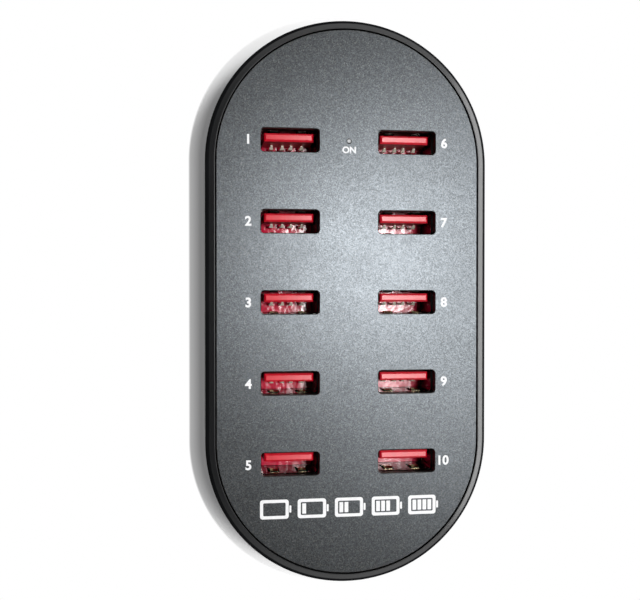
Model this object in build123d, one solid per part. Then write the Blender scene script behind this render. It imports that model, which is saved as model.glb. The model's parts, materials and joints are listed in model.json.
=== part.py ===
"""Obround desktop charger with ten USB-A ports.

Millimetres, +Z up through the ports, +Y towards the mains inlet, origin under the middle of the feet.
"""

import os
from math import copysign, cos, hypot, radians, sin

from build123d import *

# Port layout, centre to centre
port_row_count = 5
port_row_pitch = 18.0
port_column_spacing = 26.5

# Steel sleeve of a port
opening_width = 12.5
opening_height = 5.12
sleeve_thickness = 0.3
sleeve_corner = 0.6
sleeve_height = 12.0
sleeve_leg_width = 1.8
finger_width = 1.8
finger_length = 4.6
finger_slit = 0.45
finger_spacing = 6.4
finger_bow = 0.45
finger_peak_share = 0.75
finger_mouth_distance = 2.2
mouth_flare_height = 0.7
mouth_flare_reach = 0.55

# Moulded insulator of a port
insulator_base_height = 2.2
tongue_width = 11.1
tongue_thickness = 1.84
tongue_offset = 1.0
tongue_recess = 0.6
tongue_tip_chamfer = 0.42

# Contact strips of a port
contact_inner_spacing = 2.0
contact_outer_spacing = 7.0
contact_width = 1.0
contact_tip_width = 0.3
contact_thickness = 0.25
contact_root_gap = 0.5
contact_bulge_gap = 0.7
contact_tip_gap = 0.1
contact_bulge_drop = 6.2
contact_tip_drop = 5.0

# Top panel
panel_thickness = 2.0
panel_edge_chamfer = 0.15
cutout_width = 13.1
cutout_height = 5.2
cutout_corner = 0.8

# Housing
wall = 2.0
panel_gap = 0.25
panel_sink = 0.1
rim_land = 0.15
rim_bevel_width = 2.0
rim_bevel_drop = 1.4
rim_edge_round = 1.2
ledge_width = 2.0
ledge_thickness = 1.5
base_edge_round = 0.4

# Bottom cover and feet
cover_thickness = 2.0
cover_rebate = 1.0
cover_gap = 0.15
foot_radius = 5.0
foot_proud = 1.2
foot_seat_depth = 0.8
foot_edge_round = 0.5
foot_edge_margin = 3.0
foot_angle = 42.0

# Case screws and the bosses they go into
boss_radius = 3.0
boss_wall_gap = 1.2
case_screw_radius = 1.3
case_screw_head_radius = 2.5
case_screw_length = 9.0
driver_slot_length = 2.8
driver_slot_width = 0.7
driver_slot_depth = 0.8

# Circuit boards and what holds them
board_thickness = 1.6
board_wall_gap = 0.8
board_edge_margin = 2.0
board_corner = 2.0
post_radius = 3.0
post_height = 2.6
post_floor = 0.6
spacer_height = 5.6
spacer_across_flats = 5.0
stud_radius = 1.25
board_screw_radius = 1.2
board_screw_length = 4.4
board_screw_head_radius = 2.2
board_screw_head_height = 1.6

# Clearances
slip = 0.1
snug = 0.05
part_gap = 1.0
panel_port_gap = 0.2
lead_stub = 1.0

# Indicator
lens_tip_radius = 0.4
lens_stem_radius = 1.2
lens_foot_wall = 0.7
lens_shoulder_drop = 0.4
led_length = 3.0
led_width = 1.6
led_height = 1.1

# Mains inlet
inlet_width = 20.0
inlet_height = 11.0
inlet_body_depth = 11.5
inlet_tail_space = 2.0
inlet_pocket_depth = 1.9
inlet_pocket_margin = 1.2
inlet_snout_wall = 1.0
inlet_lobe_radius = 3.9
inlet_neck_height = 5.4
inlet_cavity_depth = 9.5
inlet_pin_spacing = 8.6
inlet_pin_radius = 1.2
inlet_pin_recess = 1.0
inlet_pin_tip_round = 0.8
inlet_tail_radius = 0.6

# Capacitors on the power board
bulk_capacitor_radius = 5.0
bulk_capacitor_height = 16.0
output_capacitor_radius = 4.0
output_capacitor_height = 14.0
capacitor_edge_round = 0.6
capacitor_groove_height = 1.8
capacitor_groove_radius = 0.4
capacitor_lead_radius = 0.3
capacitor_lead_spacing = 3.6
x_capacitor_width = 13.0
x_capacitor_thickness = 5.0
x_capacitor_height = 11.0
x_capacitor_edge_round = 0.6
x_capacitor_lead_spacing = 10.0

# Transformer
transformer_width = 22.0
transformer_height = 16.0
core_thickness = 6.5
core_yoke = 3.0
core_side_leg = 3.4
core_center_leg = 6.0
winding_depth = 12.5
winding_corner = 2.0

# Low parts between the boards
choke_radius = 5.0
choke_bore_radius = 2.0
choke_height = 4.2
choke_edge_round = 0.9
fuse_radius = 1.6
fuse_length = 8.0
fuse_cap_length = 1.6
fuse_cap_step = 0.2
fuse_lead_radius = 0.3
fuse_lead_reach = 0.9
bridge_length = 8.2
bridge_width = 6.4
bridge_height = 2.6
power_package_length = 6.6
power_package_width = 6.1
power_package_height = 2.3
package_edge = 0.35
package_lead_width = 0.8
package_lead_reach = 1.6
package_lead_thickness = 0.5
package_lead_spacing = 4.6
header_pin_count = 4
header_pitch = 2.54
header_depth = 2.5
header_pin_width = 0.64

# Heights of the stack, from the surface it stands on
cover_bottom = foot_proud
cover_top = cover_bottom + cover_thickness
power_board_bottom = cover_top + post_height
power_board_top = power_board_bottom + board_thickness
usb_board_bottom = power_board_top + spacer_height
usb_board_top = usb_board_bottom + board_thickness
sleeve_mouth = usb_board_top + sleeve_height
panel_bottom = sleeve_mouth + panel_port_gap
panel_top = panel_bottom + panel_thickness
housing_top = panel_top + panel_sink
ledge_bottom = panel_bottom - ledge_thickness

# Plan of the port field and its board
row_offsets = [(row - (port_row_count - 1) / 2) * port_row_pitch for row in range(port_row_count)]
first_row_y = row_offsets[-1]
column_x = port_column_spacing / 2
half_pitch = port_row_pitch / 2
between_rows_y = first_row_y - half_pitch
sleeve_width = opening_width + 2 * sleeve_thickness
sleeve_depth = opening_height + 2 * sleeve_thickness
usb_board_half_width = column_x + sleeve_width / 2 + board_edge_margin
usb_board_half_length = first_row_y + sleeve_depth / 2 + board_edge_margin

# Plan of the housing, built outwards from the port board and the parts beside it
boss_x = usb_board_half_width + part_gap + boss_radius
inner_radius = boss_x + boss_radius + boss_wall_gap
outer_radius = inner_radius + wall
x_capacitor_y = usb_board_half_length + part_gap + x_capacitor_thickness / 2
inlet_back = x_capacitor_y + x_capacitor_thickness / 2 + part_gap
inlet_face = inlet_back + inlet_tail_space + inlet_body_depth
outer_half_length = inlet_face + inlet_pocket_depth
end_center = outer_half_length - outer_radius
recess_radius = outer_radius - rim_bevel_width - rim_land
panel_radius = recess_radius - panel_gap
rebate_radius = inner_radius + cover_rebate
cover_radius = rebate_radius - cover_gap
board_radius = inner_radius - board_wall_gap

# Places of repeated pieces
sides = (-1, 1)
boss_points = [(i * boss_x, j * between_rows_y) for i in sides for j in sides]
spacer_points = [(i * column_x, j * between_rows_y) for i in sides for j in sides]
foot_reach = cover_radius - foot_edge_margin - foot_radius
foot_x = foot_reach * cos(radians(foot_angle))
foot_y = end_center + foot_reach * sin(radians(foot_angle))
foot_points = [(i * foot_x, j * foot_y) for i in sides for j in sides]
port_points = [(i * column_x, y) for i in sides for y in reversed(row_offsets)]
contact_xs = [i * s / 2 for s in (contact_outer_spacing, contact_inner_spacing) for i in sides]
header_xs = [(pin - (header_pin_count - 1) / 2) * header_pitch for pin in range(header_pin_count)]

# Places inside a port, from the board up
tongue_tip = sleeve_height - tongue_recess
tongue_face_y = tongue_offset - tongue_thickness / 2
contact_root_y = tongue_face_y - contact_root_gap - contact_thickness / 2
sleeve_wall_x = (opening_width + sleeve_thickness) / 2
sleeve_wall_y = (opening_height + sleeve_thickness) / 2
leg_depth = board_thickness + lead_stub

# Places on the power board, from the mains end to the output end
inlet_z = power_board_top + inlet_height / 2
inlet_tail_y = inlet_back + inlet_tail_space / 2
bulk_x = inlet_width / 2 + part_gap + bulk_capacitor_radius
bulk_y = usb_board_half_length + part_gap + bulk_capacitor_radius
fuse_cap_radius = fuse_radius + fuse_cap_step
fuse_z = power_board_top + fuse_cap_radius
fuse_lead_x = fuse_length / 2 + fuse_lead_reach
bridge_reach = bridge_width / 2 + package_lead_reach
power_package_reach = power_package_width / 2 + package_lead_reach
choke_y = between_rows_y
fuse_y = choke_y - choke_radius - part_gap - fuse_cap_radius
bridge_y = fuse_y - fuse_cap_radius - part_gap - bridge_reach
transistor_y = bridge_y - bridge_reach - part_gap - power_package_reach
header_y = -between_rows_y
rectifier_y = header_y + header_depth / 2 + part_gap + power_package_reach
transformer_y = -(usb_board_half_length + part_gap + winding_depth / 2)
output_x = transformer_width / 2 + part_gap + output_capacitor_radius
output_y = -(usb_board_half_length + part_gap + output_capacitor_radius)

bottom_aligned = (Align.CENTER, Align.CENTER, Align.MIN)


def obround(radius):
    """Stadium outline along Y; all of them share the housing's two end centres."""
    return SlotCenterToCenter(2 * end_center, 2 * radius, rotation=90)


def square(width):
    """Square outline round the origin."""
    return Rectangle(width, width)


def prism(outline, low, high):
    """Outline drawn on XY, raised from one height to another."""
    return extrude(Pos(0, 0, low) * outline, high - low)


def block(x, y, low, high, width, depth):
    """Upright box with its middle at x, y."""
    return Pos(x, y, low) * Box(width, depth, high - low, align=bottom_aligned)


def rod(x, y, low, high, radius):
    """Upright cylinder with its axis at x, y."""
    return Pos(x, y, low) * Cylinder(radius, high - low, align=bottom_aligned)


def edges_at(part, height):
    """Edges of a part that lie flat at one height."""
    return part.edges().filter_by_position(Axis.Z, height - snug, height + snug)


def strip(points, thickness, width):
    """Bent flat strip: a line in the YZ plane with a thickness, as wide as given along X."""
    return extrude(Plane.YZ * trace(Polyline(*points), thickness), width / 2, both=True)


def inlet_prism(outline, depth):
    """Outline drawn on the face of the mains inlet, sunk into the housing."""
    return Pos(0, inlet_face, inlet_z) * Rot(90, 0, 0) * extrude(outline, depth)


def snout_outline(gap):
    """Outer outline of the mouth of the mains inlet, with a gap round it."""
    return SlotCenterToCenter(inlet_pin_spacing, 2 * (inlet_lobe_radius + inlet_snout_wall + gap))


def housing():
    """Moulded shell: bevelled rim, panel ledge, bottom rebate, screw bosses and inlet pocket."""
    body = prism(obround(outer_radius), cover_bottom, housing_top)
    top_face = body.faces().sort_by(Axis.Z)[-1]
    body = chamfer(top_face.edges(), rim_bevel_width, rim_bevel_drop, reference=top_face)
    body = fillet(edges_at(body, housing_top - rim_bevel_drop), rim_edge_round)
    body = fillet(edges_at(body, cover_bottom), base_edge_round)
    body -= prism(obround(rebate_radius), cover_bottom, cover_top)
    body -= prism(obround(inner_radius), cover_top, ledge_bottom)
    body -= prism(obround(recess_radius - ledge_width), ledge_bottom, panel_bottom)
    body -= prism(obround(recess_radius), panel_bottom, housing_top)
    wall_core = prism(obround(outer_radius - wall / 2), cover_top, ledge_bottom)
    web_width = boss_radius + boss_wall_gap + wall / 2
    bore_top = cover_bottom + case_screw_length + part_gap
    for x, y in boss_points:
        web = block(x + copysign(web_width / 2, x), y, cover_top, ledge_bottom, web_width, wall)
        body += rod(x, y, cover_top, ledge_bottom, boss_radius)
        body += web & wall_core
        body -= rod(x, y, cover_top, bore_top, case_screw_radius + snug)
    pocket_bottom = power_board_top - inlet_pocket_margin
    pocket_top = power_board_top + inlet_height + inlet_pocket_margin
    pad_depth = wall + inlet_pocket_depth
    pad_y = inlet_face - wall + pad_depth / 2
    pad = block(0, pad_y, cover_top, pocket_top + wall, inlet_width + 2 * wall, pad_depth)
    body += pad & wall_core
    body -= block(0, outer_half_length, pocket_bottom, pocket_top, 2 * outer_radius, 2 * inlet_pocket_depth)
    body -= inlet_prism(snout_outline(slip), wall)
    return body


def top_panel():
    """Inset plate with the port cut-outs and the indicator hole, its upper edges bevelled."""
    outline = obround(panel_radius) - Pos(0, first_row_y) * Circle(lens_tip_radius + snug)
    cutout = RectangleRounded(cutout_width, cutout_height, cutout_corner)
    for x, y in port_points:
        outline -= Pos(x, y) * cutout
    plate = prism(outline, panel_bottom, panel_top)
    return chamfer(edges_at(plate, panel_top), panel_edge_chamfer)


def countersink():
    """Cone of a flat screw head, wide end down."""
    height = case_screw_head_radius - case_screw_radius
    return Cone(case_screw_head_radius, case_screw_radius, height, align=bottom_aligned)


def bottom_cover():
    """Plate in the bottom rebate, with board posts, countersunk holes and seats for the feet."""
    plate = prism(obround(cover_radius), cover_bottom, cover_top)
    for x, y in spacer_points:
        plate += rod(x, y, cover_top, power_board_bottom, post_radius)
        plate -= rod(x, y, cover_top + post_floor, power_board_bottom, stud_radius + snug)
    for x, y in boss_points:
        plate -= rod(x, y, cover_bottom, cover_top, case_screw_radius + slip)
        plate -= Pos(x, y, cover_bottom) * countersink()
    for x, y in foot_points:
        plate -= rod(x, y, cover_bottom, cover_bottom + foot_seat_depth, foot_radius + slip)
    return plate


def rubber_foot(x, y):
    """Round foot glued into its seat in the cover, with its lower edge rounded."""
    foot = rod(x, y, 0, cover_bottom + foot_seat_depth, foot_radius)
    return fillet(edges_at(foot, 0), foot_edge_round)


def case_screws():
    """Countersunk screws from below, through the cover into the bosses."""
    slot = block(0, 0, 0, driver_slot_depth, driver_slot_length, driver_slot_width)
    screw = countersink() + rod(0, 0, 0, case_screw_length, case_screw_radius)
    screw -= slot + Rot(0, 0, 90) * slot
    return Compound([Pos(x, y, cover_bottom) * screw for x, y in boss_points])


def usb_sleeve():
    """Formed sleeve of one port on the board, with a flared mouth, spring fingers and board legs."""
    outer = RectangleRounded(sleeve_width, sleeve_depth, sleeve_corner + sleeve_thickness)
    inner = RectangleRounded(opening_width, opening_height, sleeve_corner)
    flare_root = sleeve_height - mouth_flare_height
    sleeve = extrude(outer - inner, flare_root)
    flare_tip = sleeve_height - sleeve_thickness / 2
    flares = (
        (0, sleeve_wall_y, opening_width - 2 * sleeve_corner),
        (90, sleeve_wall_x, opening_height - 2 * sleeve_corner),
    )
    for turn, wall_at, width in flares:
        for side in sides:
            line = (
                (side * wall_at, flare_root - sleeve_thickness),
                (side * wall_at, flare_root),
                (side * (wall_at + mouth_flare_reach), flare_tip),
            )
            sleeve += Rot(0, 0, turn) * strip(line, sleeve_thickness, width)
    window_width = finger_width + 2 * finger_slit
    window_top = sleeve_height - finger_mouth_distance
    root = window_top - finger_slit - finger_length
    for x in (-finger_spacing / 2, finger_spacing / 2):
        sleeve -= block(x, 0, root, window_top, window_width, 2 * sleeve_depth)
        for side in sides:
            line = (
                (side * sleeve_wall_y, root - finger_slit),
                (side * sleeve_wall_y, root),
                (side * (sleeve_wall_y - finger_bow), root + finger_length * finger_peak_share),
                (side * (sleeve_wall_y - finger_bow / 2), root + finger_length),
            )
            sleeve += Pos(x, 0, 0) * strip(line, sleeve_thickness, finger_width)
    for side in sides:
        sleeve += block(side * sleeve_wall_x, 0, -leg_depth, slip, sleeve_thickness, sleeve_leg_width)
    return sleeve


def usb_insulator():
    """Base that fills the foot of the sleeve, with the flat tongue that carries the contacts."""
    outline = RectangleRounded(opening_width - 2 * snug, opening_height - 2 * snug, sleeve_corner)
    base = extrude(outline, insulator_base_height)
    tongue = block(0, tongue_offset, 0, tongue_tip, tongue_width, tongue_thickness)
    insulator = base + chamfer(edges_at(tongue, tongue_tip), tongue_tip_chamfer)
    slot_width = contact_width + 2 * snug
    slot_depth = contact_thickness + 2 * snug
    for x in contact_xs:
        insulator -= block(x, contact_root_y, 0, insulator_base_height, slot_width, slot_depth)
    return insulator


def usb_contacts():
    """Four sprung strips: up from the board through the base, bowed out, with the narrow tip turned in."""
    bulge_y = tongue_face_y - contact_bulge_gap - contact_thickness / 2
    tip_y = tongue_face_y - contact_tip_gap - contact_thickness / 2
    line = (
        (contact_root_y, -leg_depth),
        (contact_root_y, insulator_base_height),
        (bulge_y, tongue_tip - contact_bulge_drop),
        (tip_y, tongue_tip - contact_tip_drop),
    )
    contact = strip(line, contact_thickness, contact_width)
    taper = (contact_width - contact_tip_width) / 2
    taper_end = tongue_tip - contact_tip_drop + contact_thickness
    for side in sides:
        edge = side * contact_width / 2
        corner = Polygon(
            (edge, tongue_tip - contact_bulge_drop),
            (edge, taper_end),
            (edge - side * taper, taper_end),
            align=None,
        )
        contact -= extrude(Plane.XZ * corner, sleeve_depth, both=True)
    return Compound([Pos(x, 0, 0) * contact for x in contact_xs])


def usb_board():
    """Board that carries the ports, with slots for their legs and contact tails."""
    outline = RectangleRounded(2 * usb_board_half_width, 2 * usb_board_half_length, board_corner)
    leg_slot = Rectangle(sleeve_thickness + 2 * slip, sleeve_leg_width + 2 * slip)
    tail_slot = Rectangle(contact_width + 2 * slip, contact_thickness + 2 * slip)
    for x, y in port_points:
        for side in sides:
            outline -= Pos(x + side * sleeve_wall_x, y) * leg_slot
        for contact_x in contact_xs:
            outline -= Pos(x + contact_x, y + contact_root_y) * tail_slot
    for x, y in spacer_points:
        outline -= Pos(x, y) * Circle(board_screw_radius + slip)
    for x in header_xs:
        outline -= Pos(x, header_y) * square(header_pin_width + 2 * slip)
    return prism(outline, usb_board_bottom, usb_board_top)


def capacitor_leads(x, y):
    """Places and radii of both leads of an upright capacitor."""
    return [(x + side * capacitor_lead_spacing / 2, y, capacitor_lead_radius) for side in sides]


def x_capacitor_leads():
    """Places and radii of both leads of the box capacitor."""
    return [(side * x_capacitor_lead_spacing / 2, x_capacitor_y, capacitor_lead_radius) for side in sides]


def power_board():
    """Lower board, notched round the bosses and cut back at the inlet, with holes for all leads."""
    outline = obround(board_radius)
    notch_radius = boss_radius + board_wall_gap
    notch_reach = outer_radius - boss_x
    for x, y in boss_points:
        outline -= Pos(x, y) * Circle(notch_radius)
        outline -= Pos(x + copysign(notch_reach / 2, x), y) * Rectangle(notch_reach, 2 * notch_radius)
    board_end = inlet_face - wall - board_wall_gap
    pad_width = inlet_width + 2 * (wall + board_wall_gap)
    outline -= Pos(0, board_end + outer_radius / 2) * Rectangle(pad_width, outer_radius)
    leads = x_capacitor_leads()
    for side in sides:
        leads += capacitor_leads(side * bulk_x, bulk_y)
        leads += capacitor_leads(side * output_x, output_y)
        leads.append((side * fuse_lead_x, fuse_y, fuse_lead_radius))
        leads.append((side * inlet_pin_spacing / 2, inlet_tail_y, inlet_tail_radius))
    for x, y, radius in leads:
        outline -= Pos(x, y) * Circle(radius + slip)
    for x, y in spacer_points:
        outline -= Pos(x, y) * Circle(stud_radius + slip)
    for x in header_xs:
        outline -= Pos(x, header_y) * square(header_pin_width + 2 * slip)
    return prism(outline, power_board_bottom, power_board_top)


def board_spacers():
    """Hexagonal stand-offs between the boards, with a stud through the lower board into its post."""
    hexagon = RegularPolygon(spacer_across_flats / 2, 6, major_radius=False)
    bore_bottom = usb_board_top - board_screw_length - part_gap
    spacers = []
    for x, y in spacer_points:
        spacer = prism(Pos(x, y) * hexagon, power_board_top, usb_board_bottom)
        spacer += rod(x, y, cover_top + post_floor + slip, power_board_top, stud_radius)
        spacer -= rod(x, y, bore_bottom, usb_board_bottom, board_screw_radius + snug)
        spacers.append(spacer)
    return Compound(spacers)


def board_screws():
    """Pan head screws through the port board into the stand-offs."""
    screws = []
    for x, y in spacer_points:
        head = rod(x, y, usb_board_top, usb_board_top + board_screw_head_height, board_screw_head_radius)
        shank = rod(x, y, usb_board_top - board_screw_length, usb_board_top, board_screw_radius)
        screws.append(head + shank)
    return Compound(screws)


def indicator_lens():
    """Light pipe that stands over the indicator and ends flush with the panel."""
    pocket_radius = hypot(led_length, led_width) / 2 + slip
    pocket_top = usb_board_top + led_height + slip
    foot_top = pocket_top + lens_foot_wall
    shoulder = panel_bottom - lens_shoulder_drop
    lens = rod(0, first_row_y, usb_board_top, foot_top, pocket_radius + lens_foot_wall)
    lens -= rod(0, first_row_y, usb_board_top, pocket_top, pocket_radius)
    lens += rod(0, first_row_y, foot_top, shoulder, lens_stem_radius)
    lens += rod(0, first_row_y, shoulder, panel_top, lens_tip_radius)
    return lens


def indicator_led():
    """Small surface mounted lamp under the light pipe."""
    return block(0, first_row_y, usb_board_top, usb_board_top + led_height, led_length, led_width)


def ac_inlet_body():
    """Two-pin mains inlet: a block on the board with a snout through the housing wall."""
    block_depth = inlet_body_depth - wall
    block_y = inlet_face - wall - block_depth / 2
    body = block(0, block_y, power_board_top, power_board_top + inlet_height, inlet_width, block_depth)
    body += inlet_prism(snout_outline(0), inlet_body_depth)
    cavity = Rectangle(inlet_pin_spacing, inlet_neck_height)
    for side in sides:
        cavity += Pos(side * inlet_pin_spacing / 2, 0) * Circle(inlet_lobe_radius)
    body -= inlet_prism(cavity, inlet_cavity_depth)
    for side in sides:
        pin_hole = Pos(side * inlet_pin_spacing / 2, 0) * Circle(inlet_pin_radius + snug)
        body -= inlet_prism(pin_hole, inlet_body_depth)
    return body


def ac_inlet_pins():
    """Round pins of the mains inlet, each with a tail down into the board."""
    length = inlet_face - inlet_pin_recess - inlet_tail_y + inlet_tail_radius
    pin = Cylinder(inlet_pin_radius, length, align=bottom_aligned)
    pin = Rot(90, 0, 0) * fillet(edges_at(pin, 0), inlet_pin_tip_round)
    pins = []
    for side in sides:
        x = side * inlet_pin_spacing / 2
        tail = rod(x, inlet_tail_y, power_board_bottom - lead_stub, inlet_z, inlet_tail_radius)
        pins.append(Pos(x, inlet_face - inlet_pin_recess, inlet_z) * pin + tail)
    return Compound(pins)


def lead(x, y, radius):
    """Straight lead from a seat on the power board to just under it."""
    return rod(x, y, power_board_bottom - lead_stub, power_board_top, radius)


def capacitor(x, y, radius, height):
    """Upright electrolytic can with a rounded top, a crimp groove and two leads."""
    can_top = power_board_top + height
    can = rod(x, y, power_board_top, can_top, radius)
    can = fillet(edges_at(can, can_top), capacitor_edge_round)
    can -= Pos(x, y, power_board_top + capacitor_groove_height) * Torus(radius, capacitor_groove_radius)
    for place in capacitor_leads(x, y):
        can += lead(*place)
    return can


def x_capacitor():
    """Box shaped film capacitor between the inlet and the port board."""
    top = power_board_top + x_capacitor_height
    box = block(0, x_capacitor_y, power_board_top, top, x_capacitor_width, x_capacitor_thickness)
    box = fillet(box.edges().filter_by(Axis.Z), x_capacitor_edge_round)
    for place in x_capacitor_leads():
        box += lead(*place)
    return box


def transformer_core():
    """Ferrite core with a middle leg, seen from the end as a figure of eight on its side."""
    top = power_board_top + transformer_height
    core = block(0, transformer_y, power_board_top, top, transformer_width, core_thickness)
    window_width = (transformer_width - core_center_leg) / 2 - core_side_leg
    window_x = (core_center_leg + window_width) / 2
    for side in sides:
        core -= block(
            side * window_x,
            transformer_y,
            power_board_top + core_yoke,
            top - core_yoke,
            window_width,
            2 * core_thickness,
        )
    return core


def transformer_winding():
    """Taped coil round the middle leg, resting on the lower yoke."""
    width = transformer_width - 2 * core_side_leg - 2 * slip
    coil = RectangleRounded(width, winding_depth, winding_corner)
    coil -= Rectangle(core_center_leg + 2 * slip, core_thickness + 2 * slip)
    bottom = power_board_top + core_yoke
    top = power_board_top + transformer_height - core_yoke - slip
    return prism(Pos(0, transformer_y) * coil, bottom, top)


def common_mode_choke():
    """Ring choke lying flat on the board, with its edges rounded by the turns of wire."""
    ring = rod(0, choke_y, power_board_top, power_board_top + choke_height, choke_radius)
    ring -= rod(0, choke_y, power_board_top, power_board_top + choke_height, choke_bore_radius)
    rims = edges_at(ring, power_board_top) + edges_at(ring, power_board_top + choke_height)
    return fillet(rims, choke_edge_round)


def fuse():
    """Tube fuse lying across the board, with end caps and bent leads."""
    tube = Cylinder(fuse_radius, fuse_length)
    for side in sides:
        cap = Cylinder(fuse_cap_radius, fuse_cap_length)
        tube += Pos(0, 0, side * (fuse_length - fuse_cap_length) / 2) * cap
    tube += Cylinder(fuse_lead_radius, 2 * fuse_lead_x)
    tube = Pos(0, fuse_y, fuse_z) * Rot(0, 90, 0) * tube
    for side in sides:
        tube += rod(side * fuse_lead_x, fuse_y, power_board_bottom - lead_stub, fuse_z, fuse_lead_radius)
    return tube


def package(y, length, width, height):
    """Flat moulded package on the board, with its upper edges bevelled."""
    top = power_board_top + height
    body = block(0, y, power_board_top, top, length, width)
    return chamfer(edges_at(body, top), package_edge)


def package_lead(x, y, reach_from, reach_to, width):
    """Flat lead on the board along Y, between two distances from the package's middle."""
    middle = y + (reach_from + reach_to) / 2
    top = power_board_top + package_lead_thickness
    return block(x, middle, power_board_top, top, width, reach_to - reach_from)


def bridge_rectifier():
    """Four-legged rectifier package."""
    body = package(bridge_y, bridge_length, bridge_width, bridge_height)
    for side in sides:
        lead_x = side * package_lead_spacing / 2
        body += package_lead(lead_x, bridge_y, -bridge_reach, bridge_reach, package_lead_width)
    return body


def power_package(y):
    """Power package with two legs on one side and a wide cooling tab on the other."""
    tab_width = package_lead_spacing + package_lead_width
    body = package(y, power_package_length, power_package_width, power_package_height)
    body += package_lead(0, y, 0, power_package_reach, tab_width)
    for side in sides:
        lead_x = side * package_lead_spacing / 2
        body += package_lead(lead_x, y, -power_package_reach, 0, package_lead_width)
    return body


def link_header():
    """Plastic strip between the boards that holds the link pins."""
    outline = Rectangle(header_pin_count * header_pitch, header_depth)
    for x in header_xs:
        outline -= Pos(x, 0) * square(header_pin_width + 2 * snug)
    return prism(Pos(0, header_y) * outline, power_board_top, usb_board_bottom)


def link_pins():
    """Square pins that carry the output from the power board up to the port board."""
    low = power_board_bottom - lead_stub
    high = usb_board_top + lead_stub
    return Compound([block(x, header_y, low, high, header_pin_width, header_pin_width) for x in header_xs])


nodes = {
    "housing": housing(),
    "top_panel": top_panel(),
    "bottom_cover": bottom_cover(),
    "case_screws": case_screws(),
    "usb_board": usb_board(),
    "power_board": power_board(),
    "board_spacers": board_spacers(),
    "board_screws": board_screws(),
    "link_header": link_header(),
    "link_pins": link_pins(),
    "indicator_lens": indicator_lens(),
    "indicator_led": indicator_led(),
    "ac_inlet_body": ac_inlet_body(),
    "ac_inlet_pins": ac_inlet_pins(),
    "x_capacitor": x_capacitor(),
    "common_mode_choke": common_mode_choke(),
    "fuse": fuse(),
    "bridge_rectifier": bridge_rectifier(),
    "switching_transistor": power_package(transistor_y),
    "output_rectifier": power_package(rectifier_y),
    "transformer_core": transformer_core(),
    "transformer_winding": transformer_winding(),
}
for number, side in enumerate(sides, start=1):
    nodes[f"bulk_capacitor_{number}"] = capacitor(
        side * bulk_x, bulk_y, bulk_capacitor_radius, bulk_capacitor_height
    )
    nodes[f"output_capacitor_{number}"] = capacitor(
        side * output_x, output_y, output_capacitor_radius, output_capacitor_height
    )
for number, (x, y) in enumerate(foot_points, start=1):
    nodes[f"rubber_foot_{number}"] = rubber_foot(x, y)
sleeve, insulator, contacts = usb_sleeve(), usb_insulator(), usb_contacts()
for number, (x, y) in enumerate(port_points, start=1):
    place = Pos(x, y, usb_board_top)
    nodes[f"usb_sleeve_{number:02d}"] = place * sleeve
    nodes[f"usb_insulator_{number:02d}"] = place * insulator
    nodes[f"usb_contacts_{number:02d}"] = place * contacts

os.makedirs("parts", exist_ok=True)
for name, solid in nodes.items():
    export_step(solid, f"parts/{name}.step")
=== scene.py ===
"""Looks, light and camera for the desktop charger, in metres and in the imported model's own frame."""

import json
from math import cos, pi, radians, sin

import bpy
from mathutils import Euler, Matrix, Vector


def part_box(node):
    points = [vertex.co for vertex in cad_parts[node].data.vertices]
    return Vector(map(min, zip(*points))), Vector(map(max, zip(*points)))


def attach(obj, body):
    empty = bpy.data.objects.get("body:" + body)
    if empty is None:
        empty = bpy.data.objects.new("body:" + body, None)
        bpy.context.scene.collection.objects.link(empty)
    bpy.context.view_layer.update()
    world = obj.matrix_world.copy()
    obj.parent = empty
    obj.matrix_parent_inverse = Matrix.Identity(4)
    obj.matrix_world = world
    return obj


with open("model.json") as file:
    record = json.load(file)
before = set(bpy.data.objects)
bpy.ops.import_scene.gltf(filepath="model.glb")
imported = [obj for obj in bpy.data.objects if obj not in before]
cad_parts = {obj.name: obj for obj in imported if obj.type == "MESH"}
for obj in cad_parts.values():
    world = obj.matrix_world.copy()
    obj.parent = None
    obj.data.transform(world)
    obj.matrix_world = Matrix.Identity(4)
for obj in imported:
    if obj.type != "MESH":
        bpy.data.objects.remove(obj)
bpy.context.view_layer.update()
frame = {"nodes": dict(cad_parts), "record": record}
nodes = frame["nodes"]
scene = bpy.context.scene
MM = 0.001


# Material helpers


def start(name):
    """New material; returns it with its node tree and its shader."""
    material = bpy.data.materials.new(name)
    material.use_nodes = True
    tree = material.node_tree
    return material, tree, tree.nodes["Principled BSDF"]


def node(tree, kind, settings=None, **sockets):
    """New node with its settings and the values of its input sockets; _ in a socket name is a space."""
    made = tree.nodes.new(kind)
    for key, value in (settings or {}).items():
        setattr(made, key, value)
    for key, value in sockets.items():
        made.inputs[key.replace("_", " ")].default_value = value
    return made


def calculate(tree, operation, *values):
    """Result of a calculation on varying or fixed values."""
    made = node(tree, "ShaderNodeMath", {"operation": operation})
    for socket, value in zip(made.inputs, values):
        if isinstance(value, bpy.types.NodeSocket):
            tree.links.new(value, socket)
        else:
            socket.default_value = value
    return made.outputs["Value"]


def place(tree, stretch=(1, 1, 1)):
    """Coordinates in the model's own frame, squeezed along each axis as given."""
    coordinates = tree.nodes.new("ShaderNodeTexCoord")
    if stretch == (1, 1, 1):
        return coordinates.outputs["Object"]
    mapping = node(tree, "ShaderNodeMapping", Scale=stretch)
    tree.links.new(coordinates.outputs["Object"], mapping.inputs["Vector"])
    return mapping.outputs["Vector"]


def axes_of(tree, vector):
    """The three parts of a vector, by the names X, Y and Z."""
    made = tree.nodes.new("ShaderNodeSeparateXYZ")
    tree.links.new(vector, made.inputs["Vector"])
    return made.outputs


def noise(tree, vector, size, detail=3.0):
    """Noise with features of about that size in metres."""
    made = node(tree, "ShaderNodeTexNoise", Scale=1 / size, Detail=detail, Roughness=0.55)
    tree.links.new(vector, made.inputs["Vector"])
    return made.outputs["Fac"]


def grey(level):
    """Colour with equal red, green and blue."""
    return (level, level, level)


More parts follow.
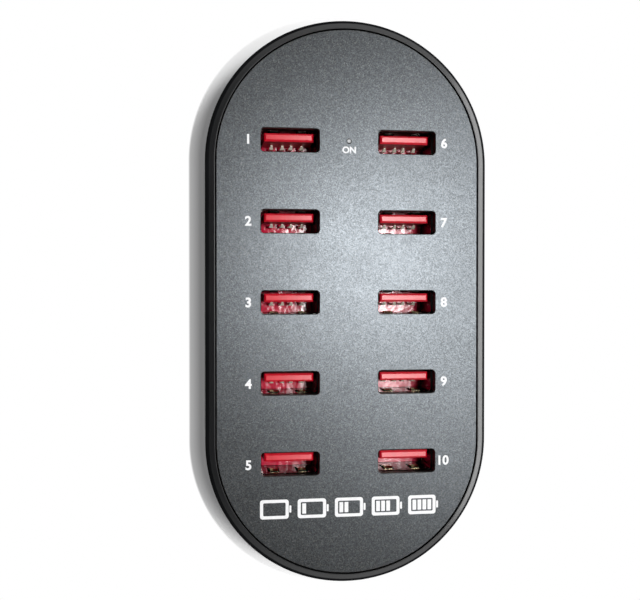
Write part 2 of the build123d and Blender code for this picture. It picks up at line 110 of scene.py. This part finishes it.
def ramp(tree, value, *stops):
    """Colours between stops of (place, colour)."""
    made = tree.nodes.new("ShaderNodeValToRGB")
    elements = made.color_ramp.elements
    while len(elements) < len(stops):
        elements.new(0.5)
    for element, (at, color) in zip(elements, stops):
        element.position = at
        element.color = (*color, 1)
    tree.links.new(value, made.inputs["Fac"])
    return made.outputs["Color"]


def cloudy(tree, cloud, dark, light):
    """Colour that drifts between two with the noise."""
    return ramp(tree, cloud, (0.3, dark), (0.7, light))


def mixed(tree, share, first, second):
    """First colour where the share is 0, second where it is 1."""
    made = tree.nodes.new("ShaderNodeMixRGB")
    for socket, value in zip(made.inputs, (share, first, second)):
        tree.links.new(value, socket)
    return made.outputs["Color"]


def spread(tree, value, low, high, from_low=0.3, from_high=0.7):
    """Value mapped to the range low to high."""
    made = node(tree, "ShaderNodeMapRange", From_Min=from_low, From_Max=from_high, To_Min=low, To_Max=high)
    tree.links.new(value, made.inputs["Value"])
    return made.outputs["Result"]


def bump(tree, shader, height, depth, normal=None):
    """Relief of that depth in metres on the shader's normal; returns the normal."""
    made = node(tree, "ShaderNodeBump", Strength=1.0, Distance=depth)
    tree.links.new(height, made.inputs["Height"])
    if normal is not None:
        tree.links.new(normal, made.inputs["Normal"])
    tree.links.new(made.outputs["Normal"], shader.inputs["Normal"])
    return made.outputs["Normal"]


def surface(name, dark, light, patch, rough, grain, depth, stretch=(1, 1, 1), **sockets):
    """Cloudy colour, uneven gloss and a fine grain, with sizes in millimetres; other sockets as given."""
    material, tree, shader = start(name)
    for key, value in sockets.items():
        shader.inputs[key.replace("_", " ")].default_value = value
    vector = place(tree, stretch)
    cloud = noise(tree, vector, patch * MM)
    fine = noise(tree, vector, grain * MM, detail=2.0)
    tree.links.new(cloudy(tree, cloud, dark, light), shader.inputs["Base Color"])
    tree.links.new(spread(tree, fine, *rough), shader.inputs["Roughness"])
    bump(tree, shader, fine, depth * MM)
    return material


# Materials that change from place to place on a piece


def panel_paint(top):
    """Dark grey paint with fine metal flakes on the upper side, bare dull edges below it."""
    flake_size = 0.21 * MM
    flake_relief = 0.003 * MM
    bare_below = top - 0.30 * MM
    painted_above = top - 0.12 * MM
    bare_gloss = 0.12
    material, tree, shader = start("panel_paint")
    shader.inputs["Specular Tint"].default_value = (0.85, 0.93, 1.0, 1.0)
    vector = place(tree)
    flakes = node(tree, "ShaderNodeTexVoronoi", {"voronoi_dimensions": "3D"}, Scale=1 / flake_size)
    tree.links.new(vector, flakes.inputs["Vector"])
    parts = tree.nodes.new("ShaderNodeSeparateColor")
    tree.links.new(flakes.outputs["Color"], parts.inputs["Color"])
    color = ramp(
        tree,
        parts.outputs["Red"],
        (0.0, (0.0052, 0.0048, 0.0042)),
        (0.75, (0.0105, 0.0096, 0.0082)),
        (1.0, (0.052, 0.048, 0.041)),
    )
    tree.links.new(color, shader.inputs["Base Color"])
    painted = spread(tree, axes_of(tree, vector)["Z"], bare_gloss, 1, bare_below, painted_above)
    flake_gloss = spread(tree, parts.outputs["Blue"], 0.38, 0.84, 0, 1)
    gloss = calculate(tree, "MULTIPLY", painted, flake_gloss)
    tree.links.new(gloss, shader.inputs["Specular IOR Level"])
    cloud = noise(tree, vector, 6 * MM)
    tree.links.new(spread(tree, cloud, 0.305, 0.325), shader.inputs["Roughness"])
    bump(tree, shader, parts.outputs["Green"], flake_relief)
    return material


def housing_plastic(top):
    """Black moulding: satin side wall, matt rounded edge, smooth bevel and a duller land round the panel."""
    band_depth = 5 * MM
    material, tree, shader = start("housing_plastic")
    vector = place(tree)
    cloud = noise(tree, vector, 9 * MM)
    fine = noise(tree, vector, 0.16 * MM, detail=2.0)
    color = cloudy(tree, cloud, (0.007, 0.0073, 0.008), (0.011, 0.0115, 0.0125))
    tree.links.new(color, shader.inputs["Base Color"])
    band = spread(tree, axes_of(tree, vector)["Z"], 0, 1, top - band_depth, top)
    gloss = ramp(
        tree,
        band,
        (0.00, grey(0.35)),
        (0.45, grey(0.0)),
        (0.83, grey(0.0)),
        (0.85, grey(0.62)),
        (0.986, grey(0.62)),
        (0.998, grey(0.40)),
    )
    tree.links.new(gloss, shader.inputs["Specular IOR Level"])
    tree.links.new(spread(tree, fine, 0.30, 0.38), shader.inputs["Roughness"])
    bump(tree, shader, fine, 0.0015 * MM)
    return material


def port_moulding(base_top):
    """Red moulding: flow lines on the tongue spread its gloss across it; the base is a bit wavy and painted
    a darker, deeper red as shade at the bottom of the port.
    """
    base_fade = 0.5 * MM
    base_roughness_share = 0.62
    wave_size = 1.6 * MM
    wave_relief = 0.06 * MM
    material, tree, shader = start("red_moulding")
    vector = place(tree)
    cloud = noise(tree, vector, 1.5 * MM)
    fine = noise(tree, vector, 0.2 * MM, detail=2.0)
    base_only = spread(tree, axes_of(tree, vector)["Z"], 1, 0, base_top, base_top + base_fade)
    tongue_red = cloudy(tree, cloud, (0.61, 0.003, 0.016), (0.73, 0.006, 0.026))
    # Darker, deeper red on the base: painted shade at the bottom of the port, on what is one moulding with
    # the tongue.
    base_red_painted_shade = cloudy(tree, cloud, (0.46, 0.003, 0.030), (0.60, 0.006, 0.050))
    tree.links.new(mixed(tree, base_only, tongue_red, base_red_painted_shade), shader.inputs["Base Color"])
    smoother = spread(tree, base_only, 1, base_roughness_share, 0, 1)
    rough = calculate(tree, "MULTIPLY", spread(tree, fine, 0.29, 0.33), smoother)
    tree.links.new(rough, shader.inputs["Roughness"])
    shader.inputs["Specular IOR Level"].default_value = 0.5
    shader.inputs["Anisotropic"].default_value = 0.9
    lines = node(tree, "ShaderNodeTangent", {"direction_type": "RADIAL", "axis": "X"})
    tree.links.new(lines.outputs["Tangent"], shader.inputs["Tangent"])
    swell = calculate(tree, "MULTIPLY", noise(tree, vector, wave_size, detail=1.0), base_only)
    waves = bump(tree, shader, swell, wave_relief)
    bump(tree, shader, fine, 0.002 * MM, waves)
    return material


def sleeve_metal(column_x, pitch, finger_inside):
    """Dark nickel, drawn along the sleeve, with a painted warm glint where the near fingers stand proud."""
    finger_fade = 0.12 * MM
    middle_fade = 0.1 * MM
    glint_full_to, plain_from = 4.6 * MM, 4.8 * MM
    material, tree, shader = start("dark_nickel_sleeve")
    shader.inputs["Metallic"].default_value = 1.0
    vector = place(tree, (1, 1, 0.12))
    cloud = noise(tree, vector, 3 * MM)
    fine = noise(tree, vector, 0.12 * MM, detail=2.0)
    axes = axes_of(tree, place(tree))
    in_row = calculate(tree, "WRAP", axes["Y"], pitch / 2, -pitch / 2)
    in_column = spread(tree, calculate(tree, "ABSOLUTE", axes["X"]), -1, 1, column_x - 1, column_x + 1)
    # Where the near fingers stand proud: a painted glint of the lamp on the finger tips.
    proud = calculate(
        tree,
        "MULTIPLY",
        spread(tree, in_row, 0, 1, -finger_inside, -finger_inside + finger_fade),
        spread(tree, in_row, 1, 0, -middle_fade, 0),
    )
    along_wall = spread(tree, calculate(tree, "ABSOLUTE", in_column), 1, 0, glint_full_to, plain_from)
    painted_glint_mask = calculate(tree, "MULTIPLY", proud, along_wall)
    nickel = cloudy(tree, cloud, (0.050, 0.047, 0.044), (0.085, 0.080, 0.072))
    # Brassy colour of the painted glint.
    painted_glint_color = cloudy(tree, cloud, (0.62, 0.50, 0.26), (0.78, 0.66, 0.40))
    tree.links.new(mixed(tree, painted_glint_mask, nickel, painted_glint_color), shader.inputs["Base Color"])
    tree.links.new(spread(tree, fine, 0.16, 0.26), shader.inputs["Roughness"])
    bump(tree, shader, fine, 0.0015 * MM)
    return material


def floor_paint(x, end_center, radius):
    """Pale floor: lit paint in an obround round the object and its shadow, white outside it in any light;
    inside, painted light lightens the shadow towards the edge, where it is cut off.
    """
    fade_inside, fade_outside = 4 * MM, 1 * MM
    material, tree, shader = start("pale_floor")
    vector = place(tree)
    cloud = noise(tree, vector, 20 * MM)
    tree.links.new(cloudy(tree, cloud, grey(0.915), grey(0.93)), shader.inputs["Base Color"])
    shader.inputs["Roughness"].default_value = 0.9
    shader.inputs["Specular IOR Level"].default_value = 0.0
    axes = axes_of(tree, vector)
    along = calculate(tree, "ABSOLUTE", axes["Y"])
    past_end = spread(tree, along, 0, 1, end_center, end_center + 1)
    sideways = spread(tree, axes["X"], -1, 1, x - 1, x + 1)
    across = tree.nodes.new("ShaderNodeCombineXYZ")
    tree.links.new(sideways, across.inputs["X"])
    tree.links.new(past_end, across.inputs["Y"])
    reach = node(tree, "ShaderNodeVectorMath", {"operation": "LENGTH"})
    tree.links.new(across.outputs["Vector"], reach.inputs[0])
    distance = spread(tree, reach.outputs["Value"], 0, 1, radius - fade_inside, radius + fade_outside)
    # Share of white sheet that grows across the obround: painted light that lightens the lamp's shadow
    # towards the edge and cuts it off there.
    painted_light_share = ramp(tree, distance, (0.30, grey(0.165)), (0.82, grey(0.40)), (0.90, grey(1.0)))
    path = tree.nodes.new("ShaderNodeLightPath")
    seen = path.outputs["Is Camera Ray"]
    for kind in ("Is Glossy Ray", "Is Transmission Ray"):
        seen = calculate(tree, "MAXIMUM", seen, path.outputs[kind])
    white_sheet = node(tree, "ShaderNodeEmission", Color=(1, 1, 1, 1), Strength=1.0)
    blend = tree.nodes.new("ShaderNodeMixShader")
    tree.links.new(calculate(tree, "MULTIPLY", painted_light_share, seen), blend.inputs["Fac"])
    tree.links.new(shader.outputs["BSDF"], blend.inputs[1])
    tree.links.new(white_sheet.outputs["Emission"], blend.inputs[2])
    tree.links.new(blend.outputs["Shader"], tree.nodes["Material Output"].inputs["Surface"])
    return material


# Finishes by the record's slots

housing_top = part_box("housing")[1].z
panel_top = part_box("top_panel")[1].z
port_base_height = 2.4 * MM
port_base_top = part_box("usb_insulator_01")[0].z + port_base_height
port_column_x, port_pitch = 13.25 * MM, 18 * MM
finger_inside = 2.47 * MM
finishes = {
    "housing": housing_plastic(housing_top),
    "panel": panel_paint(panel_top),
    "cover": surface(
        "cover_plastic", (0.014, 0.014, 0.015), (0.022, 0.022, 0.023), 7, (0.48, 0.62), 0.35, 0.012
    ),
    "rubber": surface(
        "foot_rubber", (0.022, 0.022, 0.022), (0.034, 0.034, 0.033), 2, (0.75, 0.9), 0.2, 0.01
    ),
    "sleeve_steel": sleeve_metal(port_column_x, port_pitch, finger_inside),
    "port_plastic": port_moulding(port_base_top),
    "contact_metal": surface(
        "plated_contact", (0.94, 0.87, 0.71), (0.98, 0.94, 0.82), 1.2, (0.46, 0.58), 0.1, 0.001,
        stretch=(1, 1, 0.2),
    ),
    "screw_steel": surface(
        "zinc_screw", (0.40, 0.41, 0.42), (0.55, 0.55, 0.55), 0.8, (0.28, 0.45), 0.15, 0.004,
        Metallic=1.0,
    ),
    "board": surface(
        "solder_mask", (0.010, 0.10, 0.035), (0.020, 0.16, 0.060), 1.6, (0.25, 0.4), 0.3, 0.006
    ),
    "spacer_brass": surface(
        "turned_brass", (0.66, 0.48, 0.20), (0.80, 0.62, 0.30), 1.0, (0.2, 0.34), 0.12, 0.002,
        stretch=(0.3, 0.3, 2), Metallic=1.0,
    ),
    "inlet_plastic": surface(
        "inlet_moulding", (0.012, 0.012, 0.013), (0.020, 0.020, 0.021), 3, (0.36, 0.5), 0.2, 0.004
    ),
    "inlet_pin": surface(
        "nickel_pin", (0.66, 0.64, 0.60), (0.78, 0.77, 0.73), 1.2, (0.12, 0.24), 0.15, 0.001,
        stretch=(1, 0.15, 1), Metallic=1.0,
    ),
    "light_pipe": surface(
        "frosted_pipe", (0.66, 0.68, 0.70), (0.76, 0.77, 0.78), 0.8, (0.3, 0.42), 0.1, 0.002,
        Transmission_Weight=0.45, IOR=1.49,
    ),
    "capacitor_can": surface(
        "capacitor_sleeve", (0.016, 0.028, 0.10), (0.03, 0.05, 0.16), 2.5, (0.22, 0.34), 0.3, 0.004,
        stretch=(1, 1, 0.15),
    ),
    "film_capacitor": surface(
        "film_capacitor_case", (0.70, 0.48, 0.05), (0.80, 0.58, 0.09), 2, (0.3, 0.42), 0.25, 0.004
    ),
    "package": surface(
        "moulded_package", (0.018, 0.018, 0.019), (0.032, 0.032, 0.033), 0.8, (0.55, 0.7), 0.12, 0.006
    ),
    "fuse_body": surface(
        "fuse_tube", (0.60, 0.62, 0.60), (0.72, 0.73, 0.71), 1, (0.1, 0.2), 0.2, 0.001,
        Transmission_Weight=0.3,
    ),
    "ferrite": surface(
        "sintered_ferrite", (0.045, 0.045, 0.05), (0.075, 0.075, 0.08), 1.5, (0.6, 0.75), 0.15, 0.01
    ),
    "winding_tape": surface(
        "winding_tape", (0.70, 0.50, 0.05), (0.82, 0.64, 0.11), 2.5, (0.25, 0.4), 0.6, 0.012,
        stretch=(0.4, 0.4, 3),
    ),
}
for row in frame["record"]["subparts"]:
    data = nodes[row["node"]].data
    data.materials.clear()
    data.materials.append(finishes[row["material_slot"]])


# Print on the panel: port numbers, a mark at the indicator and a row of battery signs

ink_low = panel_top - 0.004 * MM
ink_high = panel_top + 0.012 * MM
white = surface("white_ink", (0.78, 0.78, 0.79), (0.88, 0.88, 0.88), 0.5, (0.42, 0.55), 0.12, 0.002)

figure_share = 0.73  # height of a figure as a share of the font's size
bold_share = 0.045  # widening of each stroke as a share of that height
number_left, number_right = -9.3 * MM, 8.6 * MM
number_height = 2.1 * MM
mark_height = 1.45 * MM
mark_drop = 1.95 * MM

sign_count = 5
sign_width, sign_height, sign_gap, stroke = 6.4 * MM, 4.3 * MM, 2.0 * MM, 0.7 * MM
sign_radius, hollow_radius = 0.6 * MM, 0.25 * MM
knob_width, knob_height, knob_radius, knob_offset = 0.45 * MM, 1.6 * MM, 0.15 * MM, 0.35 * MM
bar_count = 4
bar_margin, bar_gap, bar_clearance, bar_radius = 0.35 * MM, 0.3 * MM, 0.6 * MM, 0.1 * MM
row_y = -46.0 * MM
corner_steps = 6


def printed_mesh(curve, name):
    """Flat outline given the thickness of the ink, as a white mesh piece on the panel."""
    curve.extrude = (ink_high - ink_low) / 2
    drawn = bpy.data.objects.new(name + "_outline", curve)
    scene.collection.objects.link(drawn)
    bpy.context.view_layer.update()
    mesh = bpy.data.meshes.new_from_object(drawn.evaluated_get(bpy.context.evaluated_depsgraph_get()))
    bpy.data.objects.remove(drawn)
    for vertex in mesh.vertices:
        vertex.co.z += (ink_low + ink_high) / 2
    mesh.materials.clear()
    mesh.materials.append(white)
    piece = bpy.data.objects.new(name, mesh)
    scene.collection.objects.link(piece)
    return piece


def lettering(name, words, x, y, height):
    """Bold printed characters, centred at x, y, with the given height."""
    text = bpy.data.curves.new(name, "FONT")
    text.body = words
    text.align_x = "CENTER"
    text.align_y = "CENTER"
    text.size = height / figure_share
    text.offset = bold_share * height
    text.resolution_u = 6
    piece = printed_mesh(text, name)
    for axis, center in enumerate((x, y)):
        places = [vertex.co[axis] for vertex in piece.data.vertices]
        shift = center - (min(places) + max(places)) / 2
        for vertex in piece.data.vertices:
            vertex.co[axis] += shift
    return piece


def rounded(curve, x, y, width, height, radius):
    """Closed rounded rectangle added to a flat curve."""
    points = []
    for index, (i, j) in enumerate(((1, 1), (-1, 1), (-1, -1), (1, -1))):
        corner_x = x + i * (width / 2 - radius)
        corner_y = y + j * (height / 2 - radius)
        for step in range(corner_steps + 1):
            angle = (index + step / corner_steps) * pi / 2
            points.append((corner_x + radius * cos(angle), corner_y + radius * sin(angle)))
    spline = curve.splines.new("POLY")
    spline.points.add(len(points) - 1)
    for point, (u, v) in zip(spline.points, points):
        point.co = (u, v, 0, 1)
    spline.use_cyclic_u = True


def joined(name, pieces):
    """Pieces put together as one object."""
    for piece in pieces:
        piece.select_set(True)
    bpy.context.view_layer.objects.active = pieces[0]
    with bpy.context.temp_override(
        active_object=pieces[0], object=pieces[0], selected_objects=pieces, selected_editable_objects=pieces
    ):
        bpy.ops.object.join()
    pieces[0].name = name
    pieces[0].data.name = name
    return pieces[0]


ports = [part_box(f"usb_insulator_{n:02d}") for n in range(1, 11)]
labels = []
for number, (low, high) in enumerate(ports, start=1):
    x = (low.x + high.x) / 2
    y = (low.y + high.y) / 2
    side = number_left if x < 0 else number_right
    labels.append(lettering(f"port_number_{number}", str(number), x + side, y, number_height))
lens_low, lens_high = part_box("indicator_lens")
mark_y = (lens_low.y + lens_high.y) / 2 - mark_drop
labels.append(lettering("indicator_mark", "ON", 0, mark_y, mark_height))
printed = [joined("printed_numbers", labels)]

signs = bpy.data.curves.new("battery_signs", "CURVE")
signs.dimensions = "2D"
signs.fill_mode = "BOTH"
hollow_width, hollow_height = sign_width - 2 * stroke, sign_height - 2 * stroke
bar_pitch = (hollow_width - bar_margin) / bar_count
for index in range(sign_count):
    x = (index - (sign_count - 1) / 2) * (sign_width + sign_gap)
    rounded(signs, x, row_y, sign_width, sign_height, sign_radius)
    rounded(signs, x, row_y, hollow_width, hollow_height, hollow_radius)
    rounded(signs, x + sign_width / 2 + knob_offset, row_y, knob_width, knob_height, knob_radius)
    for bar in range(index):
        bar_x = x - sign_width / 2 + stroke + bar_margin / 2 + (bar + 0.5) * bar_pitch
        rounded(signs, bar_x, row_y, bar_pitch - bar_gap, hollow_height - bar_clearance, bar_radius)
printed.append(printed_mesh(signs, "battery_signs"))
for piece in printed:
    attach(piece, "root")


# Floor

floor_half = 12.0
shadow_x, shadow_end_center, shadow_radius = 0.9 * MM, 35.2 * MM, 36.3 * MM
sheet = bpy.data.meshes.new("floor")
corners = [(i * floor_half, j * floor_half, 0) for i, j in ((-1, -1), (1, -1), (1, 1), (-1, 1))]
sheet.from_pydata(corners, [], [(0, 1, 2, 3)])
sheet.materials.append(floor_paint(shadow_x, shadow_end_center, shadow_radius))
floor = bpy.data.objects.new("floor", sheet)
scene.collection.objects.link(floor)


# World: white at the horizon and dark above, with a higher light band everywhere but on the left

dark_until, open_from = -0.75, -0.15
world = bpy.data.worlds.new("studio")
scene.world = world
world.use_nodes = True
tree = world.node_tree
direction = tree.nodes.new("ShaderNodeTexCoord")
axes = axes_of(tree, direction.outputs["Generated"])
open_side = ramp(
    tree,
    axes["Z"],
    (0.11, grey(1.0)),
    (0.16, grey(0.80)),
    (0.34, (0.05, 0.05, 0.052)),
    (1.0, (0.03, 0.03, 0.032)),
)
dark_side = ramp(
    tree,
    axes["Z"],
    (0.07, grey(1.0)),
    (0.11, (0.06, 0.06, 0.062)),
    (1.0, (0.02, 0.02, 0.022)),
)
sky = mixed(tree, spread(tree, axes["X"], 0, 1, dark_until, open_from), dark_side, open_side)
tree.links.new(sky, tree.nodes["Background"].inputs["Color"])


# Lamps and camera

lamp_aim = Vector((0, 0, 0.028))


def lamp(name, at, width, depth, power):
    """Soft rectangular lamp that looks at the panel."""
    light = bpy.data.lights.new(name, "AREA")
    light.shape = "RECTANGLE"
    light.size = width
    light.size_y = depth
    light.energy = power
    made = bpy.data.objects.new(name, light)
    made.location = at
    made.rotation_euler = (lamp_aim - made.location).to_track_quat("-Z", "Y").to_euler()
    scene.collection.objects.link(made)


lamp("key", at=(0.124, 0.036, 0.729), width=0.090, depth=0.090, power=2.35)
lamp("right_soft", at=(0.258, 0.0, 0.729), width=0.39, depth=0.23, power=3.2)
lamp("right_strip", at=(0.62, 0.0, 0.09), width=1.0, depth=0.2, power=4.2)

camera = bpy.data.cameras.new("camera")
camera.sensor_fit = "HORIZONTAL"
camera.sensor_width = 36.0
camera.lens = 49.58
camera.clip_start = 0.01
holder = bpy.data.objects.new("camera", camera)
holder.location = (-0.033485, 0.003113, 0.2235)
holder.rotation_euler = Euler((radians(-0.756), radians(-7.867), radians(0.007)))
scene.collection.objects.link(holder)
scene.camera = holder
scene.view_settings.view_transform = "Standard"
